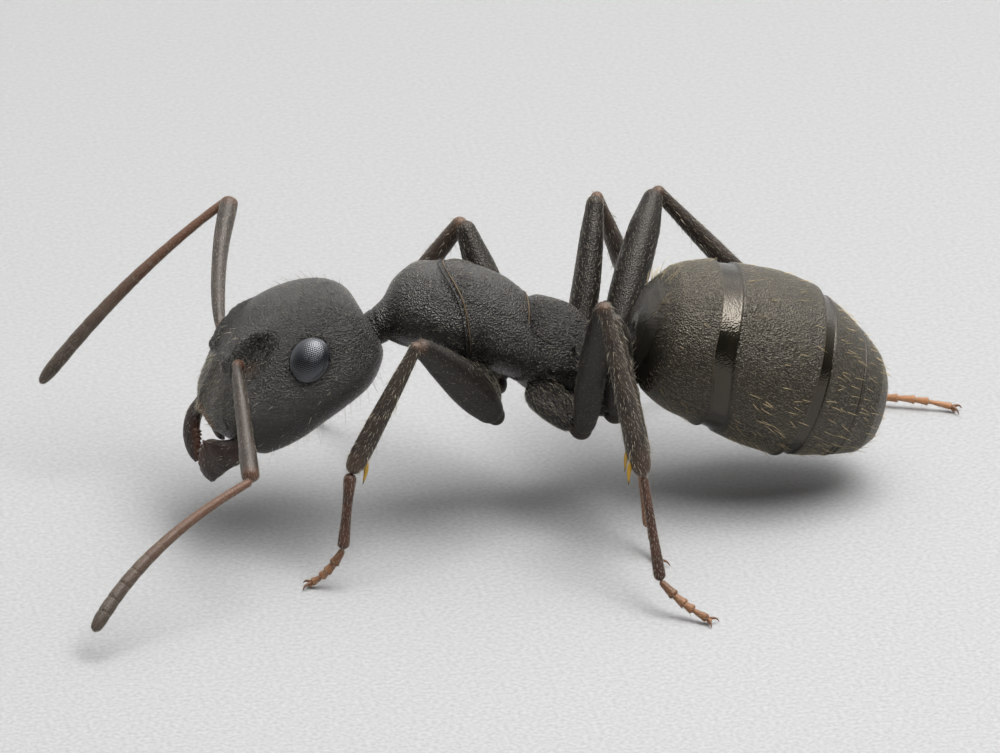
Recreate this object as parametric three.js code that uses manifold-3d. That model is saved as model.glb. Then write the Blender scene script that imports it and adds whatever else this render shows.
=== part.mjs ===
// A worker ant of the Formica fusca group, standing with its head on the -X side.
//
// Millimetres, +Z up.  The ant's left side faces -Y.  The places below are measured from a point on
// the floor under the thorax, and the whole animal is moved at the end so that its box is centred.
// Each plate of the body and each joint of a leg or feeler is a closed solid of its own.

import * as THREE from 'three';
import { mergeVertices } from 'three/addons/utils/BufferGeometryUtils.js';
import Module from 'manifold-3d';

const wasm = await Module();
wasm.setup();

// ---------------------------------------------------------------- driving dimensions

const HEAD_CENTRE = new THREE.Vector3(-2.66, -0.02, 2.2);
const HEAD_PITCH = 28; // degrees, mouth down
const HEAD_YAW = 4; // degrees, mouth towards the left side
const HEAD_ROLL = -4; // degrees, left side down

const GASTER_FRONT = new THREE.Vector3(1.7, 0, 2.44);
const GASTER_PITCH = 19; // degrees, tip down
const GASTER_LENGTH = 3.42;
const GASTER_DROOP = 0.35; // how far the tip hangs below the axis
const GASTER_CURL = 2.6; // how late along the gaster that droop comes
const GASTER_BREADTH = 1.03; // its width against its height
const GASTER_RING_SPACE = 0.01; // least distance of a ring from a plate's end

// Limb thickness at even steps from the body outwards, with the hairs, spurs and claws.
const LEG_THICKNESS = 0.45;
const THIGH_THICKNESS = 0.47;
const FEELER_THICKNESS = 0.46;
const COXA = [0.5, 0.56, 0.5, 0.4];
const FEMUR = [0.3, 0.46, THIGH_THICKNESS, THIGH_THICKNESS, 0.46, 0.34];
const TIBIA = [0.34, LEG_THICKNESS, LEG_THICKNESS, 0.42];
const TARSUS = [0.4, LEG_THICKNESS, LEG_THICKNESS, LEG_THICKNESS, 0.36];
const SCAPE = [0.36, FEELER_THICKNESS, FEELER_THICKNESS, 0.4];
const FLAGELLUM = [0.36, FEELER_THICKNESS, FEELER_THICKNESS, FEELER_THICKNESS, 0.3];
const COXA_INSET = 0.1; // from the leg's base on the thorax
const TROCHANTER = 0.16; // room for the small joint between coxa and femur

const GAP = 0.02; // between neighbouring solids
const BODY_SIDES = 24;
const LIMB_SIDES = 9;
const WELD = 1e-5; // points closer than this are one

// ---------------------------------------------------------------- materials

const MATERIALS = {
  cuticle: [0x1d1c1b, 0.45],
  gaster: [0x2b2820, 0.5],
  limb: [0x2e211a, 0.5],
  feeler: [0x3b261c, 0.55],
  eye: [0x15161a, 0.25],
  mandible: [0x33190f, 0.35],
};

const materials = Object.fromEntries(
  Object.entries(MATERIALS).map(([name, [color, roughness]]) => [
    name,
    new THREE.MeshStandardMaterial({ name, color, roughness, metalness: 0 }),
  ]),
);

// ---------------------------------------------------------------- making solids

const ant = new THREE.Group();

const placed = [];

/** Adds a solid, cut back where it would run into the solids placed before it. */
function addPart(name, geometry, material, turn = new THREE.Matrix4()) {
  const world = geometry.clone().applyMatrix4(turn);
  world.computeBoundingBox();
  let solid = toManifold(world);
  for (const other of placed.filter(({ box }) => box.intersectsBox(world.boundingBox))) {
    solid = solid.subtract(other.grown);
  }
  const mesh = new THREE.Mesh(fromManifold(solid), materials[material]);
  mesh.name = name;
  ant.add(mesh);
  const size = world.boundingBox.getSize(new THREE.Vector3());
  const centre = world.boundingBox.getCenter(new THREE.Vector3());
  const growth = size.clone().addScalar(GAP).divide(size);
  const grown = toManifold(world.clone()
    .translate(-centre.x, -centre.y, -centre.z)
    .scale(growth.x, growth.y, growth.z)
    .translate(centre.x, centre.y, centre.z));
  placed.push({ box: world.boundingBox.clone().expandByScalar(GAP), grown });
}

/** A closed solid through a list of rings with equally many points, capped at both ends. */
function loft(rings) {
  const sides = rings[0].length;
  const positions = rings.flat().flatMap((p) => p.toArray());
  const first = rings.length * sides;
  for (const ring of [rings[0], rings.at(-1)]) {
    const middle = ring.reduce((sum, p) => sum.add(p), new THREE.Vector3()).divideScalar(sides);
    positions.push(...middle.toArray());
  }
  const index = [];
  for (let i = 0; i < sides; i += 1) {
    const next = (i + 1) % sides;
    for (let r = 0; r + 1 < rings.length; r += 1) {
      const [a, b, c, d] = [r * sides + i, r * sides + next, (r + 1) * sides + next, (r + 1) * sides + i];
      index.push(a, b, c, a, c, d);
    }
    const last = (rings.length - 1) * sides;
    index.push(first, next, i, first + 1, last + i, last + next);
  }
  const geometry = new THREE.BufferGeometry();
  geometry.setAttribute('position', new THREE.Float32BufferAttribute(positions, 3));
  geometry.setIndex(volume(positions, index) < 0 ? index.reverse() : index);
  return geometry;
}

/** The volume inside a closed mesh, negative where its faces point inwards. */
function volume(positions, index) {
  const corner = (i) => new THREE.Vector3().fromArray(positions, 3 * index[i]);
  let sum = 0;
  for (let i = 0; i < index.length; i += 3) {
    sum += corner(i).dot(corner(i + 1).cross(corner(i + 2))) / 6;
  }
  return sum;
}

/** One ring of a body section: an oval, with its own height above and depth below the middle. */
function oval(middle, side, up, halfWidth, above, below, roundness = 2) {
  const ring = [];
  for (let i = 0; i < BODY_SIDES; i += 1) {
    const angle = (2 * Math.PI * i) / BODY_SIDES;
    const across = Math.sign(Math.cos(angle)) * Math.abs(Math.cos(angle)) ** (2 / roundness);
    const along = Math.sign(Math.sin(angle)) * Math.abs(Math.sin(angle)) ** (2 / roundness);
    const point = middle.clone().addScaledVector(side, across * halfWidth);
    ring.push(point.addScaledVector(up, along * (along > 0 ? above : below)));
  }
  return ring;
}

/** A limb joint: a round tube along a curve, with its thickness given at even steps. */
function limb(curve, thicknesses, steps) {
  const frames = curve.computeFrenetFrames(steps, false);
  const rings = [];
  for (let s = 0; s <= steps; s += 1) {
    const t = s / steps;
    const place = t * (thicknesses.length - 1);
    const k = Math.min(Math.floor(place), thicknesses.length - 2);
    const radius = THREE.MathUtils.lerp(thicknesses[k], thicknesses[k + 1], place - k) / 2;
    const ring = [];
    for (let i = 0; i < LIMB_SIDES; i += 1) {
      const angle = (2 * Math.PI * (i + 0.5)) / LIMB_SIDES;
      const point = curve.getPointAt(t);
      point.addScaledVector(frames.normals[s], radius * Math.cos(angle));
      point.addScaledVector(frames.binormals[s], radius * Math.sin(angle));
      point.z = Math.max(point.z, 0);
      ring.push(point);
    }
    rings.push(ring);
  }
  return loft(rings);
}

/** The straight line between two places, drawn in from each end by its own share of the gap. */
function between(start, end, inStart = GAP / 2, inEnd = GAP / 2) {
  const direction = end.clone().sub(start).normalize();
  return new THREE.LineCurve3(
    start.clone().addScaledVector(direction, inStart),
    end.clone().addScaledVector(direction, -inEnd),
  );
}

function toManifold(geometry) {
  const plain = geometry.clone();
  plain.deleteAttribute('normal');
  plain.deleteAttribute('uv');
  const merged = mergeVertices(plain, WELD);
  return new wasm.Manifold(new wasm.Mesh({
    numProp: 3,
    vertProperties: new Float32Array(merged.attributes.position.array),
    triVerts: new Uint32Array(merged.index.array),
  }));
}

function fromManifold(solid) {
  const { vertProperties, triVerts } = solid.getMesh();
  const geometry = new THREE.BufferGeometry();
  geometry.setAttribute('position', new THREE.BufferAttribute(vertProperties, 3));
  geometry.setIndex(new THREE.BufferAttribute(triVerts, 1));
  return geometry;
}

// ---------------------------------------------------------------- head

// Along the head from the back to the mouth: place, half width, height above and depth below.
const HEAD_SECTIONS = [
  [-1.16, 0.3, 0.16, 0.14],
  [-1.1, 0.62, 0.38, 0.34],
  [-0.96, 0.88, 0.6, 0.5],
  [-0.7, 1.06, 0.76, 0.64],
  [-0.35, 1.15, 0.86, 0.69],
  [0, 1.15, 0.88, 0.73],
  [0.35, 1.09, 0.81, 0.78],
  [0.65, 1.0, 0.66, 0.77],
  [0.88, 0.9, 0.46, 0.7],
  [1.07, 0.68, 0.32, 0.42],
  [1.2, 0.4, 0.14, 0.2],
];
const HEAD_ROUNDNESS = 2.2;
const FORWARD = new THREE.Vector3(1, 0, 0);
const LEFT = new THREE.Vector3(0, 1, 0);
const UP = new THREE.Vector3(0, 0, 1);

// In the head's own frame +X is the mouth, +Y the left side and +Z the forehead.
const headTurn = new THREE.Group();
headTurn.position.copy(HEAD_CENTRE);
headTurn.rotation.order = 'ZYX';
headTurn.rotation.set(
  THREE.MathUtils.degToRad(-HEAD_ROLL),
  THREE.MathUtils.degToRad(HEAD_PITCH),
  THREE.MathUtils.degToRad(180 + HEAD_YAW),
);
headTurn.updateMatrix();
const inHead = headTurn.matrix;

addPart('head', loft(HEAD_SECTIONS.map(([along, halfWidth, above, below]) =>
  oval(FORWARD.clone().multiplyScalar(along), LEFT, UP, halfWidth, above, below, HEAD_ROUNDNESS))),
'cuticle', inHead);

const EYE_PLACE = [-0.24, 1.01, 0.35];
const EYE_SIZE = [0.3, 0.24, 0.13];
const EYE_TILT = 28; // degrees, back end up
const EYE_UPTURN = 1.5; // how much the eye faces up as well as out

function eye(side) {
  const [along, across, up] = EYE_PLACE;
  const [halfLength, halfHeight, bulge] = EYE_SIZE;
  const outward = new THREE.Vector3(0, side * across, up * EYE_UPTURN).normalize();
  return new THREE.SphereGeometry(1, 16, 10)
    .scale(halfLength, halfHeight, bulge)
    .rotateZ(side * THREE.MathUtils.degToRad(EYE_TILT))
    .applyQuaternion(new THREE.Quaternion().setFromUnitVectors(UP, outward))
    .translate(along, side * across, up);
}

// Each jaw from the cheek to its tip: inner edge, outer edge and half thickness.
const JAWS = {
  left: [
    [[0.8, 0.6, -0.15], [0.86, 0.72, -0.45], 0.12],
    [[1.05, 0.62, -0.19], [1.16, 0.74, -0.48], 0.12],
    [[1.3, 0.5, -0.1], [1.36, 0.68, -0.5], 0.09],
    [[1.6, 0.38, -0.38], [1.52, 0.54, -0.58], 0.07],
    [[1.6, 0.42, -0.57], [1.55, 0.49, -0.61], 0.05],
  ],
  right: [
    [[0.8, -0.6, -0.15], [0.86, -0.72, -0.3], 0.12],
    [[1.05, -0.66, -0.2], [1.1, -0.76, -0.05], 0.12],
    [[1.32, -0.5, -0.23], [1.46, -0.68, -0.19], 0.1],
    [[1.5, -0.4, -0.5], [1.64, -0.55, -0.5], 0.07],
    [[1.6, -0.45, -0.65], [1.64, -0.5, -0.64], 0.05],
  ],
};

function mandible(sections) {
  const edges = sections.map(([inner, outer]) => [
    new THREE.Vector3(...inner), new THREE.Vector3(...outer),
  ]);
  const middles = edges.map(([inner, outer]) => inner.clone().lerp(outer, 0.5));
  const rings = sections.map(([, , halfThickness], k) => {
    const [inner, outer] = edges[k];
    const width = outer.clone().sub(inner);
    const halfWidth = width.length() / 2;
    width.normalize();
    const before = middles[Math.max(k - 1, 0)];
    const after = middles[Math.min(k + 1, middles.length - 1)];
    const thin = after.clone().sub(before).cross(width).normalize();
    return oval(middles[k], thin, width, halfThickness, halfWidth, halfWidth);
  });
  return loft(rings);
}

const SOCKET = [0.54, 0.5, 0.56];

function headToWorld(along, across, up) {
  return new THREE.Vector3(along, across, up).applyMatrix4(inHead);
}

// ---------------------------------------------------------------- feelers

const FEELERS = {
  left: { side: 1, elbow: [-3.52, -2.25, 1.67], bow: [-5.0, -2.94, 1.26], tip: [-5.72, -3.62, 0.42] },
  right: { side: -1, elbow: [-3.01, 2.38, 3.46], bow: [-4.34, 2.25, 2.6], tip: [-5.47, 2.12, 1.23] },
};

for (const [name, { side, elbow, bow, tip }] of Object.entries(FEELERS)) {
  addPart(`eye_${name}`, eye(side), 'eye', inHead);
  addPart(`mandible_${name}`, mandible(JAWS[name]), 'mandible', inHead);
  const [along, across, up] = SOCKET;
  const socket = headToWorld(along, side * across, up);
  const elbowPoint = new THREE.Vector3(...elbow);
  const scape = between(socket, elbowPoint, 0, 0);
  addPart(`scape_${name}`, limb(scape, SCAPE, 6), 'feeler');
  const whip = new THREE.QuadraticBezierCurve3(
    elbowPoint,
    new THREE.Vector3(...bow),
    new THREE.Vector3(...tip),
  );
  addPart(`flagellum_${name}`, limb(whip, FLAGELLUM, 10), 'feeler');
}

// ---------------------------------------------------------------- thorax

// From front to back: place along the body, height of the middle, half width, half height, lean.
const PRONOTUM = [
  [-1.6, 2.66, 0.2, 0.2, 0],
  [-1.45, 2.72, 0.3, 0.27, 0],
  [-1.3, 2.79, 0.48, 0.39, -0.1],
  [-1.1, 2.83, 0.63, 0.48, -0.2],
  [-0.88, 2.83, 0.74, 0.56, -0.26],
  [-0.56, 2.74, 0.76, 0.64, -0.3],
];
const MESOTHORAX = [
  [-0.52, 2.74, 0.72, 0.64, -0.3],
  [-0.36, 2.73, 0.68, 0.68, -0.26],
  [-0.1, 2.6, 0.65, 0.7, -0.2],
  [0.16, 2.4, 0.6, 0.74, -0.1],
  [0.33, 2.22, 0.53, 0.7, 0],
];
const PROPODEUM = [
  [0.37, 2.2, 0.52, 0.69, 0],
  [0.62, 2.21, 0.52, 0.63, 0],
  [0.9, 2.11, 0.5, 0.57, 0.1],
  [1.12, 1.9, 0.42, 0.44, 0.2],
  [1.28, 1.72, 0.28, 0.26, 0.2],
];

function thoraxPlate(sections) {
  return loft(sections.map(([along, height, halfWidth, halfHeight, lean]) =>
    oval(new THREE.Vector3(along, 0, height), LEFT.clone().negate(),
      new THREE.Vector3(lean, 0, 1), halfWidth, halfHeight, halfHeight)).reverse());
}

addPart('pronotum', thoraxPlate(PRONOTUM), 'cuticle');
addPart('mesothorax', thoraxPlate(MESOTHORAX), 'cuticle');
addPart('propodeum', thoraxPlate(PROPODEUM), 'cuticle');

// ---------------------------------------------------------------- waist scale

// From the bottom up: height, place along the body, half thickness and half width.
const PETIOLE = [
  [1.28, 1.52, 0.18, 0.2],
  [1.46, 1.53, 0.24, 0.3],
  [1.8, 1.48, 0.18, 0.38],
  [2.2, 1.42, 0.14, 0.44],
  [2.5, 1.38, 0.1, 0.38],
  [2.68, 1.36, 0.06, 0.18],
];

addPart('petiole', loft(PETIOLE.map(([height, along, halfThickness, halfWidth]) =>
  oval(new THREE.Vector3(along, 0, height), FORWARD, LEFT, halfThickness, halfWidth, halfWidth))),
'cuticle');

// ---------------------------------------------------------------- gaster

// Distance along the axis and radius, each as a part of the gaster's length.
const GASTER_PROFILE = [
  [0, 0.03],
  [0.012, 0.11],
  [0.035, 0.168],
  [0.1, 0.242],
  [0.19, 0.284],
  [0.28, 0.301],
  [0.38, 0.315],
  [0.5, 0.328],
  [0.62, 0.322],
  [0.72, 0.297],
  [0.85, 0.246],
  [0.93, 0.202],
  [0.975, 0.147],
  [1, 0.05],
];
const GASTER_SEAMS = [0, 0.275, 0.64, 0.83, 1];

function gasterRadius(t) {
  const k = Math.max(1, GASTER_PROFILE.findIndex(([place]) => place >= t));
  const [[t0, r0], [t1, r1]] = [GASTER_PROFILE[k - 1], GASTER_PROFILE[k]];
  return THREE.MathUtils.mapLinear(t, t0, t1, r0, r1);
}

function gasterRing(t) {
  const pitch = THREE.MathUtils.degToRad(GASTER_PITCH);
  const axis = new THREE.Vector3(Math.cos(pitch), 0, -Math.sin(pitch));
  const up = new THREE.Vector3(Math.sin(pitch), 0, Math.cos(pitch));
  const radius = gasterRadius(t) * GASTER_LENGTH;
  const middle = GASTER_FRONT.clone().addScaledVector(axis, t * GASTER_LENGTH);
  middle.addScaledVector(up, -GASTER_DROOP * t ** GASTER_CURL);
  return oval(middle, LEFT, up, radius * GASTER_BREADTH, radius, radius);
}

for (let k = 0; k + 1 < GASTER_SEAMS.length; k += 1) {
  const half = GAP / 2 / GASTER_LENGTH;
  const start = GASTER_SEAMS[k] + (k > 0 ? half : 0);
  const end = GASTER_SEAMS[k + 1] - (k + 2 < GASTER_SEAMS.length ? half : 0);
  const inner = GASTER_PROFILE.map(([t]) => t)
    .filter((t) => t > start + GASTER_RING_SPACE && t < end - GASTER_RING_SPACE);
  addPart(`gaster_${k + 1}`, loft([start, ...inner, end].map(gasterRing)), 'gaster');
}

// ---------------------------------------------------------------- legs

// The joints of each leg from the body to the claws: hip base, hip, knee, ankle, ball and tip.
const LEGS = {
  front_left: {
    base: [-0.66, -0.34, 2.3], hip: [-0.11, -0.44, 1.46], knee: [-1.28, -1.38, 2.96],
    ankle: [-2.19, -1.75, 1.45], ball: [-2.33, -2.0, 0.54], tip: [-2.72, -1.92, 0.08],
  },
  front_right: {
    base: [-0.66, 0.34, 2.3], hip: [0.08, 0.5, 1.45], knee: [-0.23, 1.38, 3.37],
    ankle: [-1.24, 2.15, 1.62], ball: [-1.6, 2.7, 0.6], tip: [-1.9, 3.05, 0.08],
  },
  middle_left: {
    base: [0.4, -0.3, 1.8], hip: [0.95, -0.6, 1.25], knee: [0.94, -2.06, 3.62],
    ankle: [1.3, -2.88, 1.63], ball: [1.41, -3.44, 0.46], tip: [1.94, -3.84, 0.08],
  },
  middle_right: {
    base: [0.4, 0.3, 1.8], hip: [0.95, 0.6, 1.25], knee: [1.55, 1.88, 3.37],
    ankle: [2.22, 2.56, 1.58], ball: [2.6, 2.8, 0.5], tip: [3.05, 2.9, 0.08],
  },
  hind_left: {
    base: [1.0, -0.24, 1.75], hip: [1.4, -0.48, 1.38], knee: [1.21, -1.2, 3.06],
    ankle: [1.49, -1.6, 1.22], ball: [1.6, -1.62, 0.36], tip: [1.66, -2.0, 0.08],
  },
  hind_right: {
    base: [1.0, 0.24, 1.75], hip: [1.4, 0.48, 1.38], knee: [2.34, 2.06, 3.31],
    ankle: [4.08, 2.0, 1.28], ball: [5.2, 2.3, 0.12], tip: [6.14, 1.95, 0.08],
  },
};

for (const [name, joints] of Object.entries(LEGS)) {
  const { base, hip, knee, ankle, ball, tip } = Object.fromEntries(
    Object.entries(joints).map(([joint, place]) => [joint, new THREE.Vector3(...place)]));
  addPart(`coxa_${name}`, limb(between(base, hip, COXA_INSET, TROCHANTER), COXA, 5), 'limb');
  addPart(`femur_${name}`, limb(between(hip, knee), FEMUR, 8), 'limb');
  addPart(`tibia_${name}`, limb(between(knee, ankle), TIBIA, 6), 'limb');
  const path = new THREE.CatmullRomCurve3([
    ankle, ankle.clone().lerp(ball, 0.5), ball, tip,
  ]);
  addPart(`tarsus_${name}`, limb(path, TARSUS, 8), 'limb');
}

// The origin is on the floor under the middle of the whole animal.
const middle = new THREE.Box3().setFromObject(ant).getCenter(new THREE.Vector3());
ant.position.set(-middle.x, -middle.y, 0);

export default ant;
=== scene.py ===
"""A black worker ant, dressed over its CAD solids.

Shapes are worked out in millimetres in the ant's own frame, the one part.mjs uses before it centres
the animal: +Z up, head on the -X side, left side facing -Y.  place() moves them into the frame.
"""
import math

import bpy
import numpy as np
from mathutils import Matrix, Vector


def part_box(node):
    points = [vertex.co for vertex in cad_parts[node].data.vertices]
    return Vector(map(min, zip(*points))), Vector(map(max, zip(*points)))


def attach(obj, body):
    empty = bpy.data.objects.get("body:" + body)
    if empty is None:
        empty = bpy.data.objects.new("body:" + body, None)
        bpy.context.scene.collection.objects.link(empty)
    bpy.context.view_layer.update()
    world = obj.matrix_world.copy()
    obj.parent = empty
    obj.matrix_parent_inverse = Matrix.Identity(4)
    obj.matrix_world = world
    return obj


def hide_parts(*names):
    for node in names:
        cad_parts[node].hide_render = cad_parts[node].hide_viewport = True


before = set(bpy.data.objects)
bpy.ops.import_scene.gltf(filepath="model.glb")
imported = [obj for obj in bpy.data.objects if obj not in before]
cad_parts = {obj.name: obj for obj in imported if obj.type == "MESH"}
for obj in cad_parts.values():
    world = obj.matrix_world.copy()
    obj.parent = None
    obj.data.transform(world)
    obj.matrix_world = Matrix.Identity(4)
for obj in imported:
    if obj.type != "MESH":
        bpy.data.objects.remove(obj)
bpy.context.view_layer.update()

MM = 0.001
rng = np.random.default_rng(11)

# ---- places shared with part.mjs

HEAD_CENTRE = np.array([-2.66, -0.02, 2.2])
HEAD_PITCH, HEAD_YAW, HEAD_ROLL = 28, 4, -4
HEAD_ROUNDNESS = 2.2
# Along the head: place, half width, height above and depth below.
HEAD_SECTIONS = [
    (-1.16, 0.3, 0.16, 0.14),
    (-1.1, 0.62, 0.38, 0.34),
    (-0.96, 0.88, 0.6, 0.5),
    (-0.7, 1.06, 0.76, 0.64),
    (-0.35, 1.15, 0.86, 0.69),
    (0, 1.15, 0.88, 0.73),
    (0.35, 1.09, 0.81, 0.78),
    (0.65, 1.0, 0.66, 0.77),
    (0.88, 0.9, 0.46, 0.7),
    (1.07, 0.68, 0.32, 0.42),
    (1.2, 0.4, 0.14, 0.2),
]
EYE_PLACE = np.array([-0.24, 1.01, 0.35])
EYE_TILT = 28
FEELERS = {
    "left": (1, (-3.52, -2.25, 1.67), (-5.0, -2.94, 1.26), (-5.72, -3.62, 0.42)),
    "right": (-1, (-3.01, 2.38, 3.46), (-4.34, 2.25, 2.6), (-5.47, 2.12, 1.23)),
}
SCAPE_LEAVES = {"left": (0.58, 0.66, 0.61), "right": (0.52, -0.47, 0.68)}  # the head, at its socket
# Along the thorax: place, height of the middle, half width, half height and lean.
PRONOTUM = [
    (-1.6, 2.66, 0.2, 0.2, 0),
    (-1.45, 2.72, 0.3, 0.27, 0),
    (-1.3, 2.79, 0.48, 0.39, -0.1),
    (-1.1, 2.83, 0.63, 0.48, -0.2),
    (-0.88, 2.83, 0.74, 0.56, -0.26),
    (-0.56, 2.74, 0.76, 0.64, -0.3),
]
MESOTHORAX = [
    (-0.52, 2.74, 0.72, 0.64, -0.3),
    (-0.36, 2.73, 0.68, 0.68, -0.26),
    (-0.1, 2.6, 0.65, 0.7, -0.2),
    (0.16, 2.4, 0.6, 0.74, -0.1),
    (0.33, 2.22, 0.53, 0.7, 0),
]
PROPODEUM_FRONT = 0.37
PROPODEUM = [
    (PROPODEUM_FRONT, 2.2, 0.52, 0.69, 0),
    (0.62, 2.21, 0.52, 0.63, 0),
    (0.9, 2.11, 0.5, 0.57, 0.1),
    (1.12, 1.9, 0.42, 0.44, 0.2),
    (1.28, 1.72, 0.28, 0.26, 0.2),
]
# Up the waist scale: height, place along the body, half thickness and half width.
PETIOLE = [
    (1.28, 1.52, 0.18, 0.2),
    (1.46, 1.53, 0.24, 0.3),
    (1.8, 1.48, 0.18, 0.38),
    (2.2, 1.42, 0.14, 0.44),
    (2.5, 1.38, 0.1, 0.38),
    (2.68, 1.36, 0.06, 0.18),
]
GASTER_FRONT = np.array([1.7, 0, 2.44])
GASTER_PITCH = 19
GASTER_LENGTH = 3.42
GASTER_BREADTH = 1.03  # its width against its height
GASTER_DROOP = 0.35
GASTER_CURL = 2.6
GASTER_SEAMS = [0, 0.275, 0.64, 0.83, 1]
GASTER_PROFILE = [
    (0, 0.03), (0.012, 0.11), (0.035, 0.168), (0.1, 0.242), (0.19, 0.284), (0.28, 0.301), (0.38, 0.315),
    (0.5, 0.328), (0.62, 0.322), (0.72, 0.297), (0.85, 0.246), (0.93, 0.202), (0.975, 0.147), (1, 0.05),
]
# Each leg's base, hip, knee, ankle, ball and tip.
LEGS = {
    "front_left": ((-0.66, -0.34, 2.3), (-0.11, -0.44, 1.46), (-1.28, -1.38, 2.96),
                   (-2.19, -1.75, 1.45), (-2.33, -2.0, 0.54), (-2.72, -1.92, 0.08)),
    "front_right": ((-0.66, 0.34, 2.3), (0.08, 0.5, 1.45), (-0.23, 1.38, 3.37),
                    (-1.24, 2.15, 1.62), (-1.6, 2.7, 0.6), (-1.9, 3.05, 0.08)),
    "middle_left": ((0.4, -0.3, 1.8), (0.95, -0.6, 1.25), (0.94, -2.06, 3.62),
                    (1.3, -2.88, 1.63), (1.41, -3.44, 0.46), (1.94, -3.84, 0.08)),
    "middle_right": ((0.4, 0.3, 1.8), (0.95, 0.6, 1.25), (1.55, 1.88, 3.37),
                     (2.22, 2.56, 1.58), (2.6, 2.8, 0.5), (3.05, 2.9, 0.08)),
    "hind_left": ((1.0, -0.24, 1.75), (1.4, -0.48, 1.38), (1.21, -1.2, 3.06),
                  (1.49, -1.6, 1.22), (1.6, -1.62, 0.36), (1.66, -2.0, 0.08)),
    "hind_right": ((1.0, 0.24, 1.75), (1.4, 0.48, 1.38), (2.34, 2.06, 3.31),
                   (4.08, 2.0, 1.28), (5.2, 2.3, 0.12), (6.14, 1.95, 0.08)),
}

low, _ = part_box("propodeum")
side_low, side_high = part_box("pronotum")
SHIFT = np.array([low.x / MM - PROPODEUM_FRONT, (side_low.y + side_high.y) / 2 / MM, 0])


def place(points):
    """Points of the ant's own frame, in millimetres, as points of the scene, in metres."""
    return (np.asarray(points, float) + SHIFT) * MM


# ---- sums


def unit(v):
    return v / np.maximum(np.linalg.norm(v, axis=-1, keepdims=True), 1e-12)


def smooth(start, end, x):
    t = np.clip((x - start) / (end - start), 0, 1)
    return t * t * (3 - 2 * t)


def hill(x, middle, width):
    return np.exp(-(((x - middle) / width) ** 2))


def angles(count, shift=0):
    """Even steps once round a circle."""
    return 2 * np.pi * (np.arange(count) + shift) / count


def joined(*parts):
    """Coordinates, or other values, put together as points."""
    return np.stack(np.broadcast_arrays(*parts), axis=-1)


def spline(rows, place_in_rows):
    """A smooth curve through evenly counted rows, read at a row number that may be a fraction."""
    rows = np.asarray(rows, float)
    padded = np.vstack([2 * rows[0] - rows[1], rows, 2 * rows[-1] - rows[-2]])
    s = np.clip(np.asarray(place_in_rows, float), 0, len(rows) - 1)
    k = np.minimum(s.astype(int), len(rows) - 2)
    t = (s - k)[..., None]
    a, b, c, d = (padded[k + i] for i in range(4))
    return 0.5 * (2 * b + (c - a) * t + (2 * a - 5 * b + 4 * c - d) * t**2 + (3 * b - a - 3 * c + d) * t**3)


def evenly(rows, count):
    """Row numbers that step evenly along the curve through these rows."""
    fine = np.linspace(0, len(rows) - 1, 60 * len(rows))
    steps = np.linalg.norm(np.diff(spline(rows, fine), axis=0), axis=1)
    length = np.concatenate([[0], np.cumsum(steps)])
    return np.interp(np.linspace(0, length[-1], count), length, fine)


def turn(axis, degrees):
    c, s = math.cos(math.radians(degrees)), math.sin(math.radians(degrees))
    i, j = [(1, 2), (2, 0), (0, 1)]["xyz".index(axis)]
    matrix = np.eye(3)
    matrix[i, i] = matrix[j, j] = c
    matrix[i, j], matrix[j, i] = -s, s
    return matrix


def turn_between(start, end):
    """The shortest turn that takes one unit vector to another."""
    axis = np.cross(start, end)
    cosine = float(np.dot(start, end))
    x, y, z = axis
    cross = np.array([[0, -z, y], [z, 0, -x], [-y, x, 0]])
    return np.eye(3) + cross + cross @ cross / (1 + cosine)


def to_line(x, y, line):
    """Distance from each point to a line of short straight pieces, and how far along it, 0 to 1."""
    line = np.asarray(line, float)
    lengths = np.linalg.norm(np.diff(line, axis=0), axis=1)
    done = np.concatenate([[0], np.cumsum(lengths)])
    best = np.full(np.shape(x), np.inf)
    along = np.zeros(np.shape(x))
    for k, (a, b) in enumerate(zip(line[:-1], line[1:])):
        direction = (b - a) / lengths[k]
        t = np.clip((x - a[0]) * direction[0] + (y - a[1]) * direction[1], 0, lengths[k])
        distance = np.hypot(x - a[0] - t * direction[0], y - a[1] - t * direction[1])
        nearer = distance < best
        best = np.where(nearer, distance, best)
        along = np.where(nearer, (done[k] + t) / done[-1], along)
    return best, along


HEAD_TURN = turn("z", 180 + HEAD_YAW) @ turn("y", HEAD_PITCH) @ turn("x", -HEAD_ROLL)


def from_head(points):
    return HEAD_CENTRE + np.asarray(points, float) @ HEAD_TURN.T


# ---- skins


class Skin:
    """Points in rows along a surface and columns right round it, with its colour and gloss marks."""

    def __init__(self, points):
        self.points = points
        self.normals = normals(points)
        inside = points.mean(axis=(0, 1))
        self.flipped = ((points - inside) * self.normals).sum() < 0
        if self.flipped:
            self.points = points[:, ::-1]
            self.normals = -self.normals[:, ::-1]
        self.tone = np.zeros(points.shape[:2])
        self.gloss = np.zeros(points.shape[:2])

    def tone_rows(self, tones):
        """Marks every row with its own tone."""
        self.tone[:] = tones[:, None]


def normals(points):
    along = np.gradient(points, axis=0)
    around = np.roll(points, -1, axis=1) - np.roll(points, 1, axis=1)
    return unit(np.cross(along, around))


def raised(points, heights):
    """The points pushed out from the surface; heights may be negative."""
    skin = Skin(points)
    return skin.points + skin.normals * heights(skin.points)[..., None]


def loft(table, spots, sides, ring):
    """Points through a table of sections at these row numbers; ring(values, angle) gives one section's."""
    values = spline(table, spots)
    return ring([values[:, k, None] for k in range(values.shape[1])], angles(sides)[None])


def power(wave, roundness):
    return np.sign(wave) * np.abs(wave) ** (2 / roundness)


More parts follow.
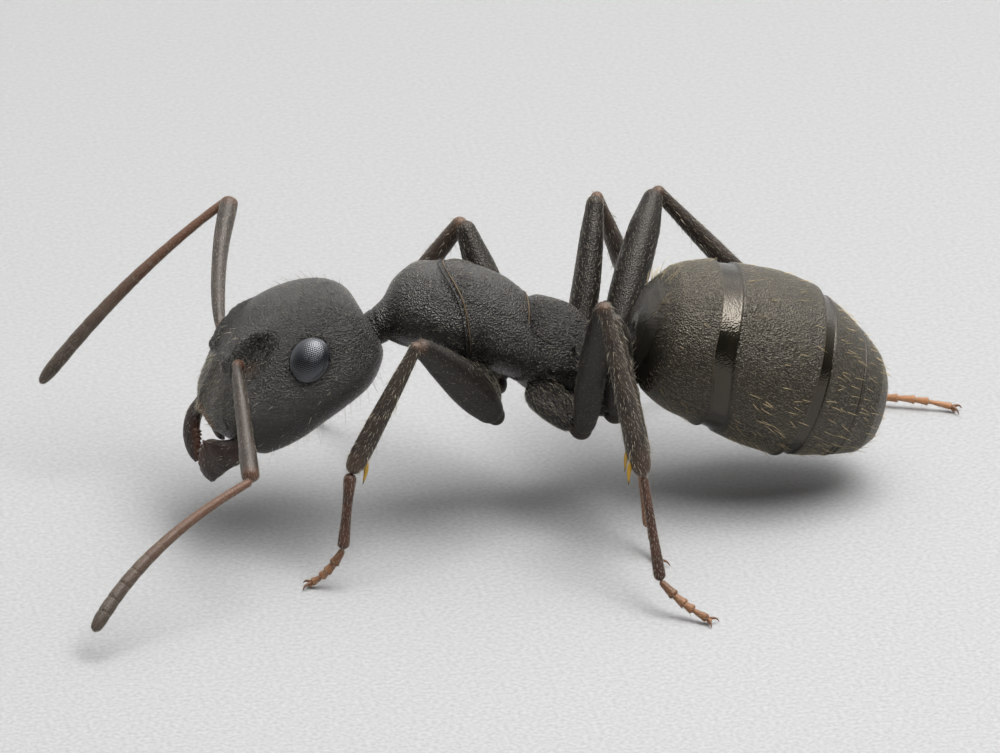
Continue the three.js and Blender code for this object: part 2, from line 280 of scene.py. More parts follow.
def tube(path, widths, rows=40, sides=24, flat=1.0, facing=(0, 0, 1)):
    """A round-ended limb along a path.  widths pairs a place from 0 to 1 with a thickness there."""
    path = np.asarray(path, float)
    fine = spline(path, np.linspace(0, len(path) - 1, 200))
    length = np.concatenate([[0], np.cumsum(np.linalg.norm(np.diff(fine, axis=0), axis=1))])
    total = length[-1]
    places, thick = np.array(widths, float).T
    ends = np.array([thick[0], thick[-1]]) / 2
    cap = 1 - np.cos(np.linspace(0.12, np.pi / 2, 8))
    stops = np.concatenate([
        ends[0] * cap, np.linspace(ends[0], total - ends[1], rows)[1:-1], total - ends[1] * cap[::-1]])
    middle = np.stack([np.interp(stops, length, fine[:, k]) for k in range(3)], axis=1)
    radius = spline(thick[:, None], np.interp(stops / total, places, np.arange(len(places))))[:, 0] / 2
    for distance, end in ((stops, ends[0]), (total - stops, ends[1])):
        share = np.clip(distance / end, 0, 1)
        radius = radius * np.sqrt(np.maximum(1 - (1 - share) ** 2, 1e-6))
    tangent = unit(np.gradient(middle, axis=0))
    side = unit(np.cross(tangent[0], facing))
    points = np.empty((len(stops), sides, 3))
    angle = angles(sides)
    for k, direction in enumerate(tangent):
        side = unit(side - direction * (side @ direction))
        up = np.cross(direction, side)
        circle = np.outer(np.cos(angle), side) + np.outer(np.sin(angle), up) * flat
        points[k] = middle[k] + circle * radius[k]
    skin = Skin(points)
    skin.share = stops / total
    return skin


CURVE_STEPS = 40


def bezier(start, bow, end):
    t = np.linspace(0, 1, CURVE_STEPS + 1)[:, None]
    start, bow, end = (np.asarray(p, float) for p in (start, bow, end))
    return (1 - t) ** 2 * start + 2 * t * (1 - t) * bow + t**2 * end


def jointed(curve, stops, shapes, thick, before, after, points, **grid):
    """A tube between each two stops along a curve, reaching a little past both of them.  shapes
    has the widths of most joints and of the last one, and thick(stop) is what they are scaled by."""
    joints = []
    for start, end in zip(stops[:-1], stops[1:]):
        last = end == stops[-1]
        along = np.clip(np.linspace(start - before, end + (0 if last else after), points), 0, 1)
        shape = [(at, width * thick(start)) for at, width in shapes[last]]
        joints.append(tube(spline(curve, along * CURVE_STEPS), shape, **grid))
    return joints


def mixed(start, end, share):
    return np.asarray(start, float) * (1 - share) + np.asarray(end, float) * share


# ---- pieces


def fill(mesh, vertices, corners, sizes):
    """Writes points and faces into an empty mesh.  corners lists the faces' points one after another."""
    mesh.vertices.add(len(vertices))
    mesh.vertices.foreach_set("co", np.asarray(vertices, np.float32).ravel())
    mesh.loops.add(len(corners))
    mesh.loops.foreach_set("vertex_index", np.asarray(corners, np.int32))
    mesh.polygons.add(len(sizes))
    starts = np.concatenate([[0], np.cumsum(sizes)[:-1]])
    mesh.polygons.foreach_set("loop_start", starts.astype(np.int32))
    mesh.polygons.foreach_set("use_smooth", np.ones(len(sizes), bool))


def finished(mesh, name, material):
    mesh.materials.append(material)
    mesh.update()
    mesh.validate()
    piece = bpy.data.objects.new(name, mesh)
    bpy.context.scene.collection.objects.link(piece)
    return piece


def mark(mesh, name, values):
    attribute = mesh.attributes.new(name, "FLOAT", "POINT")
    attribute.data.foreach_set("value", np.asarray(values, np.float32).ravel())


def add_skins(name, skins, material, slot, *nodes):
    """One piece made of several closed skins, standing for these CAD nodes."""
    vertices, corners, sizes, offset = [], [], [], 0
    for skin in skins:
        rows, columns = skin.points.shape[:2]
        index = offset + np.arange(rows * columns).reshape(rows, columns)
        after = np.roll(index, -1, axis=1)
        quads = np.stack([index[:-1], index[1:], after[1:], after[:-1]], axis=-1).reshape(-1, 4)
        corners += [quads.ravel(), index[0], index[-1][::-1]]
        sizes += [np.full(len(quads), 4), [columns], [columns]]
        vertices.append(place(skin.points).reshape(-1, 3))
        offset += rows * columns
    mesh = bpy.data.meshes.new(name)
    fill(mesh, np.concatenate(vertices), np.concatenate(corners), np.concatenate(sizes))
    mark(mesh, "tone", np.concatenate([skin.tone.ravel() for skin in skins]))
    mark(mesh, "gloss", np.concatenate([skin.gloss.ravel() for skin in skins]))
    piece = finished(mesh, name, material)
    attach(piece, "root")
    if nodes:
        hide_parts(*nodes)


def dress(node, suffix, skins, material, slot):
    """The piece that stands for one CAD node, named after it."""
    add_skins(f"{node}_{suffix}", skins, material, slot, node)


# ---- hairs

PATCH = 0.003  # how wide a hair's own patch is on the map OFBake
ROOT_DEPTH = 0.006  # how deep a root is sunk in the skin
LENGTH_SPREAD = 0.2  # of hair lengths, as a share
HAIR_TAPER = 0.7


class Roots:
    """Places on a skin where hairs stand, with the skin's own directions and map places there."""

    def __init__(self, skin, row, column):
        rows, columns = skin.points.shape[:2]
        r = np.minimum(row.astype(int), rows - 2)
        c = column.astype(int) % columns
        next_c = (c + 1) % columns
        a, b = (row - r)[:, None], (column - column.astype(int))[:, None]

        def read(grid):
            return ((1 - a) * (1 - b) * grid[r, c] + a * (1 - b) * grid[r + 1, c]
                    + (1 - a) * b * grid[r, next_c] + a * b * grid[r + 1, next_c])

        self.place = read(skin.points)
        self.out = unit(read(skin.normals))
        self.along = unit(read(np.gradient(skin.points, axis=0)))
        self.map = np.stack([row / rows, column / columns], axis=1)


def scatter(skin, density, weight=1):
    """Roots spread over a skin, density for each square millimetre, thinned by weight in each cell."""
    points = skin.points
    across = np.roll(points, -1, axis=1)
    one, two = across[1:] - points[:-1], points[1:] - across[:-1]
    area = np.linalg.norm(np.cross(one, two), axis=-1) / 2 * weight
    total = np.concatenate([[0], np.cumsum(area.ravel() * density)]) + rng.random()
    count = np.diff(np.floor(total)).astype(int)
    cell = np.repeat(np.arange(len(count)), count)
    row, column = np.divmod(cell, points.shape[1])
    return Roots(skin, row + rng.random(len(cell)), column + rng.random(len(cell)))


def in_rows(skin, shares, spacing):
    """Roots in lines right round a skin at these shares of its rows."""
    row, column = [], []
    rows, columns = skin.points.shape[:2]
    for share in shares:
        k = int(share * (rows - 1))
        ring = skin.points[k]
        around = np.linalg.norm(np.roll(ring, -1, axis=0) - ring, axis=1).sum()
        count = max(int(around / spacing), 3)
        spots = (np.arange(count) + 0.5 + rng.uniform(-0.3, 0.3, count)) * columns / count
        row.append(np.clip(k + rng.normal(0, 0.012 * rows, count), 0, rows - 1.01))
        column.append(spots)
    return Roots(skin, np.concatenate(row), np.concatenate(column) % columns)


class Coat:
    """Hairs of one piece: thin three-sided spines, closed at the root and drawn to a point."""

    def __init__(self, tiles=1):
        self.vertices, self.corners, self.uv, self.tones = [], [], [], []
        self.offset = 0
        self.side = math.ceil(math.sqrt(tiles))

    def grow(self, skin, density, weight, *shape, **choices):
        """Hairs scattered over a skin; the rest is as for add."""
        self.add(scatter(skin, density, weight), *shape, **choices)

    def add(self, roots, length, width, lift, curl, steps=2, turn_aside=12, tile=0, tone=0.0):
        """lift is the angle from the skin at the root and curl what is added to it by the tip."""
        count = len(roots.place)
        if count == 0:
            return
        out = roots.out
        along = roots.along
        along = unit(along - out * (along * out).sum(axis=1, keepdims=True))
        aside = np.cross(out, along)
        yaw = np.radians(rng.normal(0, turn_aside, count))[:, None]
        along = along * np.cos(yaw) + aside * np.sin(yaw)
        side = np.cross(along, out)
        lengths = length * np.clip(rng.normal(1, LENGTH_SPREAD, count), 0.5, 1.6)[:, None]
        lifts = lift + rng.normal(0, 0.15 * lift + 1, count)
        spot = roots.place - out * ROOT_DEPTH
        rings = []
        for k in range(steps + 1):
            share = k / steps
            angle = np.radians(lifts + curl * share)[:, None]
            axis = along * np.cos(angle) + out * np.sin(angle)
            if k:
                spot = spot + axis * lengths / steps
            if k == steps:
                rings.append(spot)
                break
            up = np.cross(side, axis)
            thick = width / 2 * (1 - HAIR_TAPER * share)
            for corner in range(3):
                turned = 2 * np.pi * corner / 3 + np.pi / 2
                rings.append(spot + (side * np.cos(turned) + up * np.sin(turned)) * thick)
        block = np.stack(rings, axis=1)
        faces = [(0, 1, 2)]
        for k in range(steps - 1):
            for i in range(3):
                a, b = 3 * k + i, 3 * k + (i + 1) % 3
                faces += [(a, a + 3, b + 3), (a, b + 3, b)]
        faces += [(3 * steps - 3 + i, 3 * steps, 3 * steps - 3 + (i + 1) % 3) for i in range(3)]
        size = 3 * steps + 1
        index = self.offset + size * np.arange(count)[:, None, None] + np.array(faces)
        corner = np.arange(size)
        patch = PATCH * np.stack([corner % 3 / 3, corner // 3 / steps], axis=1)
        where = (np.array([tile % self.side, tile // self.side]) + roots.map) / self.side
        self.vertices.append(block.reshape(-1, 3))
        self.corners.append(index.reshape(-1, 3))
        self.uv.append((where[:, None] + patch).reshape(-1, 2))
        self.tones.append(np.full(count * size, tone))
        self.offset += count * size

    def build(self, name, material):
        mesh = bpy.data.meshes.new(name)
        corners = np.concatenate(self.corners)
        fill(mesh, place(np.concatenate(self.vertices)), corners.ravel(), np.full(len(corners), 3))
        mark(mesh, "tone", np.concatenate(self.tones))
        uv = mesh.uv_layers.new(name="OFBake")
        uv.uv.foreach_set("vector", np.concatenate(self.uv)[corners.ravel()].astype(np.float32).ravel())
        piece = finished(mesh, name, material)
        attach(piece, "root")


# ---- materials

# Widths of the clouds of light and dark, in millimetres, and the screen colours named only once.
SHELL_CLOUD = 0.22
HAIR_CLOUD = 0.15
FLOOR_CLOUD = 0.06
HAIR_SHADE = "2a241c"
FLOOR_NEAR, FLOOR_DARK, FLOOR_LIGHT = "aeaeae", "a4a4a4", "b8b8b8"
BACKDROP = "dedede"


def paint(code):
    """A screen colour such as 1c1b1a as the shader's colour."""
    levels = [int(code[i:i + 2], 16) / 255 for i in (0, 2, 4)]
    return [c / 12.92 if c <= 0.04045 else ((c + 0.055) / 1.055) ** 2.4 for c in levels] + [1]


class Tree:
    """The shader nodes of one material or world."""

    def __init__(self, owner):
        owner.use_nodes = True
        self.nodes, self.links = owner.node_tree.nodes, owner.node_tree.links

    def feed(self, node, inputs):
        """Gives each input, by its name or number, a value or another node's output."""
        for key, value in inputs.items():
            if hasattr(value, "is_output"):
                self.links.new(value, node.inputs[key])
            else:
                node.inputs[key].default_value = value

    def new(self, kind, inputs, output=0, **settings):
        """The named or numbered output of a new node."""
        node = self.nodes.new("ShaderNode" + kind)
        for name, value in settings.items():
            setattr(node, name, value)
        self.feed(node, inputs)
        return node.outputs[output]

    def where(self, kind="Object"):
        return self.new("TexCoord", {}, kind)

    def mark(self, name):
        return self.new("Attribute", {}, "Fac", attribute_name=name)

    def mix(self, share, one, two):
        return self.new("Mix", {0: share, 6: one, 7: two}, 2, data_type="RGBA")

    def scaled(self, value, *limits):
        """value taken from one range to another: low in, high in, low out, high out."""
        ranges = dict(zip(("From Min", "From Max", "To Min", "To Max"), limits))
        return self.new("MapRange", {"Value": value, **ranges}, "Result")

    def noise(self, where, size, detail):
        """Noise with clouds of this size, in millimetres."""
        return self.new("TexNoise", {"Vector": where, "Scale": 1 / (size * MM), "Detail": detail}, "Fac")

    def cells(self, where, size):
        return self.new("TexVoronoi", {"Vector": where, "Scale": 1 / (size * MM)}, "Distance")

    def summed(self, one, two, share):
        """one + two x share."""
        return self.new("Math", {0: two, 1: share, 2: one}, operation="MULTIPLY_ADD")


def new_material(name):
    material = bpy.data.materials.new(name)
    tree = Tree(material)
    return material, tree, tree.nodes["Principled BSDF"]


def shell(name, dark, light, marked, roughness, glossy, grain, depth, specular=0.5, sheen="fff8ee"):
    """Cuticle: dark and light cloud through each other, marked shows where tone is 1 and the
    gloss mark takes roughness down to glossy.  grain is the size of its cells and depth their
    height, both in millimetres; sheen tints its highlights."""
    material, tree, shader = new_material(name)
    where = tree.where()
    fine = tree.noise(where, grain * 0.8, 3)
    wide = tree.noise(where, grain * 5, 2)
    cloud = tree.scaled(tree.noise(where, SHELL_CLOUD, 4), 0.35, 0.65, 0, 1)
    base = tree.mix(cloud, paint(dark), paint(light))
    base = tree.mix(tree.scaled(fine, 0.4, 0.8, 0, 0.35), base, paint(dark))
    gloss = tree.mark("gloss")
    height = tree.summed(tree.summed(tree.cells(where, grain), fine, 0.8), wide, 1.1)
    bump = {"Height": height, "Distance": depth * MM, "Strength": tree.scaled(gloss, 0, 1, 1, 0.12)}
    tree.feed(shader, {
        "Base Color": tree.mix(tree.mark("tone"), base, paint(marked)),
        "Roughness": tree.scaled(gloss, 0, 1, roughness, glossy),
        "Specular IOR Level": specular,
        "Specular Tint": paint(sheen),
        "Normal": tree.new("Bump", bump, "Normal"),
    })
    return material


def hair(name, colour, marked, roughness=0.4):
    material, tree, shader = new_material(name)
    shade = tree.scaled(tree.noise(tree.where(), HAIR_CLOUD, 2), 0.3, 0.7, 0, 0.35)
    base = tree.mix(tree.mark("tone"), paint(colour), paint(marked))
    tree.feed(shader, {
        "Base Color": tree.mix(shade, base, paint(HAIR_SHADE)),
        "Roughness": roughness,
        "Specular IOR Level": 0.5,
    })
    return material


CUTICLE = shell("cuticle", "070606", "100f0e", "6e4a26", 0.23, 0.18, 0.023, 0.028, 0.8, "fffaf3")
GASTER = shell("gaster", "100f0a", "201d13", "7a6440", 0.28, 0.1, 0.024, 0.012, 0.74, "fff3e2")
LIMB = shell("limb", "0e0c0b", "1a1512", "4c3528", 0.42, 0.3, 0.022, 0.005, 0.45)
SHIN = shell("shin", "251e1a", "3a3029", "6c5140", 0.44, 0.3, 0.024, 0.006, 0.5)
TARSUS = shell("tarsus", "38241e", "4e342a", "a87650", 0.45, 0.32, 0.02, 0.003)
FEELER = shell("feeler", "3a312c", "4e433c", "644434", 0.45, 0.35, 0.018, 0.004)
EYE = shell("eye", "121316", "17181b", "1e1e21", 0.16, 0.16, 0.02, 0.0, 1.0, "f6f9ff")
SCAPE_SHELL = shell("scape", "241e1b", "3a302b", "744a34", 0.34, 0.25, 0.02, 0.004, 0.6)
RIM = shell("rim", "3c3020", "7a6444", "7a6444", 0.4, 0.3, 0.03, 0.0)
MANDIBLE = shell("mandible", "1e1413", "342422", "6c3c22", 0.36, 0.25, 0.034, 0.01)
AMBER = shell("amber", "a8842c", "c09a40", "4a3a20", 0.3, 0.3, 0.03, 0.001)
DOWN = hair("down", "b4aa92", "4a4234")
PALE = hair("pale", "c8c0a8", "3a332a", 0.35)
LEG_HAIR = hair("leg_hair", "beb49e", "4a4234")
BRISTLE = hair("bristle", "d6bf90", "3a332a", 0.35)

# ---- head

CARINA = [(0.7, 0.38), (0.56, 0.42), (0.4, 0.45), (0.2, 0.5), (0.02, 0.58), (-0.1, 0.66)]
CLYPEUS_EDGE = [(0.68, 0.0), (0.68, 0.3), (0.74, 0.5), (0.9, 0.62), (1.06, 0.7), (1.2, 0.72)]
SOCKET = (0.57, 0.56)
OCELLI = [(-0.78, 0.0, 0.04), (-0.92, 0.17, 0.036)]
EYE_HALF = np.array([0.305, 0.255])
EYE_BULGE = 0.15
EYE_OUT = -0.005
EYE_UPTURN = 1.5  # how much more an eye faces up than its place alone would have it
HEAD_ROWS, HEAD_COLUMNS = 220, 250


def eye_turn(side):
    out = unit(np.array([0, side * EYE_PLACE[1], EYE_PLACE[2] * EYE_UPTURN]))
    return turn_between(np.array([0, 0, 1.0]), out) @ turn("z", side * EYE_TILT), out


def eye_share(points, side):
    """How far each head point is from an eye's middle, where 1 is its rim."""
    matrix, _ = eye_turn(side)
    centre = EYE_PLACE * [1, side, 1]
    local = (points - centre) @ matrix
    share = np.hypot(local[..., 0] / EYE_HALF[0], local[..., 1] / EYE_HALF[1])
    return np.where(local[..., 2] > -0.4, share, 9)


def head_relief(points):
    x, y, z = points[..., 0], np.abs(points[..., 1]), points[..., 2]
    top = smooth(0.0, 0.2, z)
    distance, along = to_line(x, y, CARINA)
    fade = 1 - smooth(0.55, 1, along)
    height = 0.07 * top * fade * np.exp(-((distance / 0.028) ** 2))
    outside = smooth(0.0, 0.05, y - np.interp(-x, [-p[0] for p in CARINA], [p[1] for p in CARINA]))
    fossa = np.hypot((x - 0.34) / 0.38, (y - 0.66) / 0.27)
    height -= 0.13 * top * outside * (1 - smooth(0.25, 1.2, fossa))
    socket = np.hypot(x - SOCKET[0], y - SOCKET[1])
    height -= 0.04 * top * (1 - smooth(0.03, 0.12, socket))
    edge, _ = to_line(x, y, CLYPEUS_EDGE)
    height -= 0.012 * smooth(-0.1, 0.05, z) * np.exp(-((edge / 0.02) ** 2))
    within = smooth(0.64, 0.8, x) * (1 - smooth(0.5, 0.66, y)) * smooth(-0.1, 0.05, z)
    height += 0.01 * within + 0.035 * within * hill(y, 0, 0.05)
    height -= 0.012 * top * hill(y, 0, 0.014) * smooth(-0.45, -0.2, x) * (1 - smooth(0.5, 0.6, x))
    for at, aside, radius in OCELLI:
        spot = np.hypot(x - at, y - aside) / radius
        height += top * (0.014 * np.sqrt(np.clip(1 - spot**2, 0, 1)) - 0.006 * hill(spot, 1.15, 0.2))
    for side in (1, -1):
        share = eye_share(points, side)
        height -= 0.07 * (1 - smooth(0.85, 1.0, share)) + 0.008 * hill(share, 1.04, 0.05)
    return height


def head_ring(values, angle):
    along, half, above, below = values
    across = power(np.cos(angle), HEAD_ROUNDNESS)
    up = power(np.sin(angle), HEAD_ROUNDNESS)
    high = np.where(up > 0, above, below) * up
    return joined(along, half * across, high)


# The sections of the head with both ends turned in.
head_table = [(-1.0, 0.02, 0.02, 0.02), (-1.1, 0.16, 0.1, 0.1)] + HEAD_SECTIONS[1:-1] + [
    (1.19, 0.42, 0.17, 0.22), (1.235, 0.32, 0.1, 0.16), (1.18, 0.28, 0.05, 0.13), (1.0, 0.2, 0.03, 0.1),
    (0.9, 0.02, 0.01, 0.02)]
head_points = raised(
    loft(head_table, evenly(head_table, HEAD_ROWS), HEAD_COLUMNS, head_ring), head_relief)
head_local = Skin(head_points)
head_skin = Skin(from_head(head_points))
x, y, z = (head_local.points[..., k] for k in range(3))
head_skin.tone = (
    0.9 * smooth(1.17, 1.22, x) * smooth(-0.12, 0.0, z)
    + 0.16 * (1 - smooth(0.04, 0.16, np.hypot(x - SOCKET[0] + 0.12, np.abs(y) - SOCKET[1] - 0.1))) * (z > 0))
simple_eyes = sum(1 - smooth(0.8, 1.1, np.hypot(x - at, np.abs(y) - aside) / radius)
                  for at, aside, radius in OCELLI)
head_skin.gloss = 0.8 * np.clip(simple_eyes, 0, 1)
head_skin.gloss *= z > 0
dress("head", "skin", [head_skin], CUTICLE, "cuticle")

EYE_ROWS, EYE_COLUMNS = 92, 280
FACET = 0.029  # from one lens to the next
FACET_HEIGHT = 0.0032
FACET_TURN = math.radians(17)


def facets(a, b):
    """The height of a honeycomb of low lenses."""
    a, b = (a * math.cos(FACET_TURN) - b * math.sin(FACET_TURN),
            a * math.sin(FACET_TURN) + b * math.cos(FACET_TURN))
    row = FACET * math.sqrt(3)
    best = np.inf
    for shift in (0, 0.5):
        da = (a / FACET + shift) - np.round(a / FACET + shift)
        db = (b / row + shift) - np.round(b / row + shift)
        best = np.minimum(best, (da * FACET) ** 2 + (db * row) ** 2)
    return FACET_HEIGHT * (1 - best / (FACET / 2) ** 2)


def eye_skin(side):
    matrix, out = eye_turn(side)
    share = np.concatenate([np.linspace(0.004, 1, EYE_ROWS), np.linspace(0.98, 0.02, 8)])
    under = np.arange(len(share)) >= EYE_ROWS
    angle = angles(EYE_COLUMNS)
    a = EYE_HALF[0] * share[:, None] * np.cos(angle)
    b = EYE_HALF[1] * share[:, None] * np.sin(angle)
    dome = EYE_BULGE * (1 - share[:, None] ** 2) ** 0.6
    relief = facets(a, b) * (1 - smooth(0.9, 0.97, share))[:, None]
    high = np.where(under[:, None], -0.5 * dome, dome + relief)
    local = joined(a, b, high)
    return Skin(from_head(local @ matrix.T + EYE_PLACE * [1, side, 1] + out * EYE_OUT))


# Each jaw's inner edge, outer edge and half thickness, from the cheek to the tip.
JAWS = {
    "left": [
        ((0.8, 0.6, -0.15), (0.86, 0.72, -0.45), 0.1),
        ((1.05, 0.62, -0.19), (1.16, 0.74, -0.48), 0.11),
        ((1.2, 0.56, -0.16), (1.27, 0.72, -0.48), 0.09),
        ((1.3, 0.5, -0.1), (1.36, 0.68, -0.5), 0.07),
        ((1.38, 0.45, -0.1), (1.42, 0.64, -0.53), 0.055),
        ((1.48, 0.41, -0.19), (1.46, 0.6, -0.55), 0.05),
        ((1.57, 0.38, -0.32), (1.51, 0.56, -0.57), 0.045),
        ((1.61, 0.38, -0.48), (1.54, 0.52, -0.6), 0.035),
        ((1.58, 0.43, -0.6), (1.56, 0.48, -0.61), 0.02),
    ],
    "right": [
        ((0.8, -0.6, -0.15), (0.86, -0.72, -0.3), 0.1),
        ((1.05, -0.66, -0.2), (1.1, -0.76, -0.05), 0.1),
        ((1.2, -0.6, -0.18), (1.33, -0.74, -0.11), 0.09),
        ((1.32, -0.5, -0.23), (1.46, -0.68, -0.19), 0.08),
        ((1.38, -0.45, -0.3), (1.54, -0.64, -0.27), 0.07),
        ((1.43, -0.41, -0.37), (1.6, -0.6, -0.36), 0.06),
        ((1.49, -0.4, -0.47), (1.64, -0.56, -0.48), 0.05),
        ((1.55, -0.42, -0.57), (1.65, -0.52, -0.58), 0.04),
        ((1.61, -0.46, -0.67), (1.63, -0.48, -0.67), 0.02),
    ],
}
TEETH = 8
TEETH_FROM = 0.5
TOOTH = 0.045


def jaw_skin(table):
    rows, sides = 180, 64
    spots = np.linspace(0, len(table) - 1, rows)
    inner = spline([row[0] for row in table], spots)[:, None]
    outer = spline([row[1] for row in table], spots)[:, None]
    half = spline([[row[2]] for row in table], spots)[:, None]
    angle = angles(sides)
    across = 0.5 - 0.5 * np.cos(angle)[None, :, None]
    forward = unit(np.gradient((inner + outer) / 2, axis=0))
    wide = unit(outer - inner)
    thin = unit(np.cross(forward, wide))
    points = inner * (1 - across) + outer * across + thin * half * np.sin(angle)[None, :, None]
    share = np.linspace(0, 1, rows)[:, None, None]
    phase = (share - TEETH_FROM) / (1 - TEETH_FROM) * TEETH % 1
    tooth = TOOTH * (1 - np.abs(1.5 * phase - 0.9)) * smooth(TEETH_FROM - 0.02, TEETH_FROM + 0.04, share)
    points = points - wide * tooth * (1 - across) ** 3
    skin = Skin(from_head(points))
    tone = (0.85 * smooth(0.45, 0.1, across) * smooth(0.3, 0.6, share))[..., 0]
    skin.tone = tone[:, ::-1] if skin.flipped else tone
    return skin


jaws, eyes = {}, {}
for name, (side, _, _, _) in FEELERS.items():
    eyes[name] = eye_skin(side)
    jaws[name] = jaw_skin(JAWS[name])
    jaws[name].tone *= 0.25 if name == "left" else 0.6
    dress(f"eye_{name}", "facets", [eyes[name]], EYE, "eye")
    dress(f"mandible_{name}", "blade", [jaws[name]], MANDIBLE, "mandible")

# Lip, palps and other soft parts under the jaws.  A palp: start, reach, thickness, joints.
PALPS = [((1.0, 0.2, -0.42), 0.62, 0.05, 5), ((1.04, 0.1, -0.42), 0.36, 0.04, 4)]
mouth = [tube(from_head([(1.0, 0, 0.02), (1.14, 0, -0.08), (1.2, 0, -0.26), (1.17, 0, -0.4)]),
              [(0, 0.3), (0.5, 0.36), (1, 0.24)], flat=0.3, facing=(1, 0, 0))]
for side in (1, -1):
    for start, reach, thick, joints in PALPS:
        spot = np.array(start) * [1, side, 1]
        for k in range(joints):
            step = np.array([-0.55 - 0.1 * k, side * 0.12, -0.55 + 0.14 * k]) * reach / joints * 1.3
            mouth.append(tube(from_head([spot, spot + step * 0.5, spot + step]),
                              [(0, thick * 0.7), (0.6, thick), (1, thick * 0.8)], rows=8, sides=12))
            spot = spot + step
add_skins("mouthparts", mouth, MANDIBLE, "mandible")

# ---- feelers

SCAPE = [(0, 0.14), (0.05, 0.16), (0.1, 0.11), (0.14, 0.13), (0.22, 0.16), (0.35, 0.178), (0.6, 0.195),
         (0.85, 0.228), (0.97, 0.225), (1, 0.18)]
WHIP_SHAPES = (
    [(0, 0.86), (0.15, 0.95), (0.6, 1.02), (0.9, 1), (1, 0.9)],
    [(0, 0.86), (0.15, 0.98), (0.5, 0.98), (0.8, 0.78), (1, 0.4)])
SCAPE_BOW = {"left": (0, 0, 0), "right": (-0.07, 0, -0.02)}
WHIP_JOINTS = [0, 0.135, 0.225, 0.31, 0.395, 0.48, 0.565, 0.65, 0.735, 0.82, 0.9, 1]
scapes, whips = {}, {}


def whip_thickness(along):
    return 0.11 + 0.065 * smooth(0, 0.8, along)


for name, (side, elbow, bow, tip) in FEELERS.items():
    root = from_head([SOCKET[0] - 0.03, side * (SOCKET[1] - 0.06), 0.52])
    rise = from_head(SCAPE_LEAVES[name])
    bow_out = np.array(SCAPE_BOW[name])
    scape = tube([root, rise, mixed(rise, elbow, 0.33) + bow_out, mixed(rise, elbow, 0.67) + bow_out, elbow],
                 SCAPE, rows=60)
    scape.tone_rows(0.45 - 0.45 * smooth(0.05, 0.14, scape.share) + 0.55 * smooth(0.9, 1, scape.share))
    scapes[name] = scape
    dress(f"scape_{name}", "skin", [scape], SCAPE_SHELL, "feeler")
    joints = jointed(bezier(elbow, bow, tip), WHIP_JOINTS, WHIP_SHAPES, whip_thickness,
                     before=0.02, after=0.016, points=5, rows=14, sides=28)
    for start, end, joint in zip(WHIP_JOINTS[:-1], WHIP_JOINTS[1:], joints):
        joint.tone_rows(1 - smooth(0.1, 0.9, start + (end - start) * joint.share))
    whips[name] = joints
    dress(f"flagellum_{name}", "joints", joints, FEELER, "feeler")

# ---- thorax

THORAX_COLUMNS = 180
# How far back the seam behind the mesothorax lies at each height, from the belly to the back.
REAR_SEAM = [(-1, -0.7, -0.4, -0.1, 0.3, 0.7, 1), (0.27, 0.25, 0.21, 0.15, 0.08, -0.03, 0.0)]


def thorax_ring(values, angle):
    along, height, half, high, lean = values
    sine = np.sin(angle)
    narrow = 1 - 0.2 * np.maximum(-sine, 0) ** 2
    leaning = lean * high * np.where(sine > 0, 0.29 * sine + 0.71 * sine**4, 0.29 * sine)
    rear = smooth(-0.2, 0.33, along) * (1 - smooth(0.37, 0.95, along))
    along = along + leaning + rear * np.interp(sine, REAR_SEAM[0], REAR_SEAM[1])
    return joined(along, half * np.cos(angle) * narrow, height + high * sine)


def closed_plate(sections, front, rear):
    """The sections with a rim turned in at each end: (step back, share of the size there)."""
    def shrunk(row, step, share):
        return (row[0] + step, row[1], row[2] * share, row[3] * share, row[4])
    first, last = sections[0], sections[-1]
    return ([shrunk(first, front[0], front[1] * 0.1), shrunk(first, front[0], front[1])] + sections
            + [shrunk(last, -rear[0], rear[1]), shrunk(last, -rear[0], rear[1] * 0.1)])


def lines(x, y, strokes):
    """Grooves, or ridges where the depth is negative: (points, width, depth)."""
    height = np.zeros(x.shape)
    for line, width, depth in strokes:
        distance, _ = to_line(x, y, line)
        height -= depth * np.exp(-((distance / width) ** 2))
    return height


PRONOTUM_EDGE = [(-1.5, 2.56), (-1.2, 2.42), (-0.9, 2.24), (-0.6, 2.16), (-0.3, 2.2)]
MESO_LINE = [(-0.5, 3.12), (-0.25, 3.0), (0.0, 2.87), (0.26, 2.7)]
META_LINE = [(-0.3, 2.0), (0.0, 1.86), (0.2, 1.92), (0.34, 2.2)]
PRO_LINE = [(0.4, 2.1), (0.62, 2.0), (0.86, 1.98), (1.06, 1.86)]
GLAND = [(0.6, 1.92), (0.68, 1.72), (0.84, 1.66), (1.0, 1.7)]


def pronotum_relief(points):
    x, z = points[..., 0], points[..., 2]
    edge = np.interp(x, [p[0] for p in PRONOTUM_EDGE], [p[1] for p in PRONOTUM_EDGE])
    height = -0.045 * (1 - smooth(-0.02, 0.02, z - edge))
    height += lines(x, z, [(PRONOTUM_EDGE, 0.03, -0.02)])
    return height


def meso_relief(points):
    x, z = points[..., 0], points[..., 2]
    height = lines(x, z, [(MESO_LINE, 0.03, 0.014), (META_LINE, 0.028, 0.045)])
    line = np.interp(x, [p[0] for p in MESO_LINE], [p[1] for p in MESO_LINE])
    height -= 0.006 * (1 - smooth(-0.06, 0.06, z - line))
    height += 0.03 * np.exp(-(((x + 0.1) / 0.22) ** 2 + ((z - 2.35) / 0.25) ** 2))
    return height


def propodeum_relief(points):
    x, z = points[..., 0], points[..., 2]
    height = lines(x, z, [(PRO_LINE, 0.022, 0.035), (GLAND, 0.022, -0.035)])
    spiracle = np.hypot((x - 0.84) / 0.045, (z - 2.3) / 0.075)
    height += 0.014 * hill(spiracle, 1.2, 0.3) - 0.03 * (1 - smooth(0.5, 1.0, spiracle))
    return height - 0.035 * (1 - smooth(0.36, 0.5, x)) * smooth(2.55, 2.75, z)


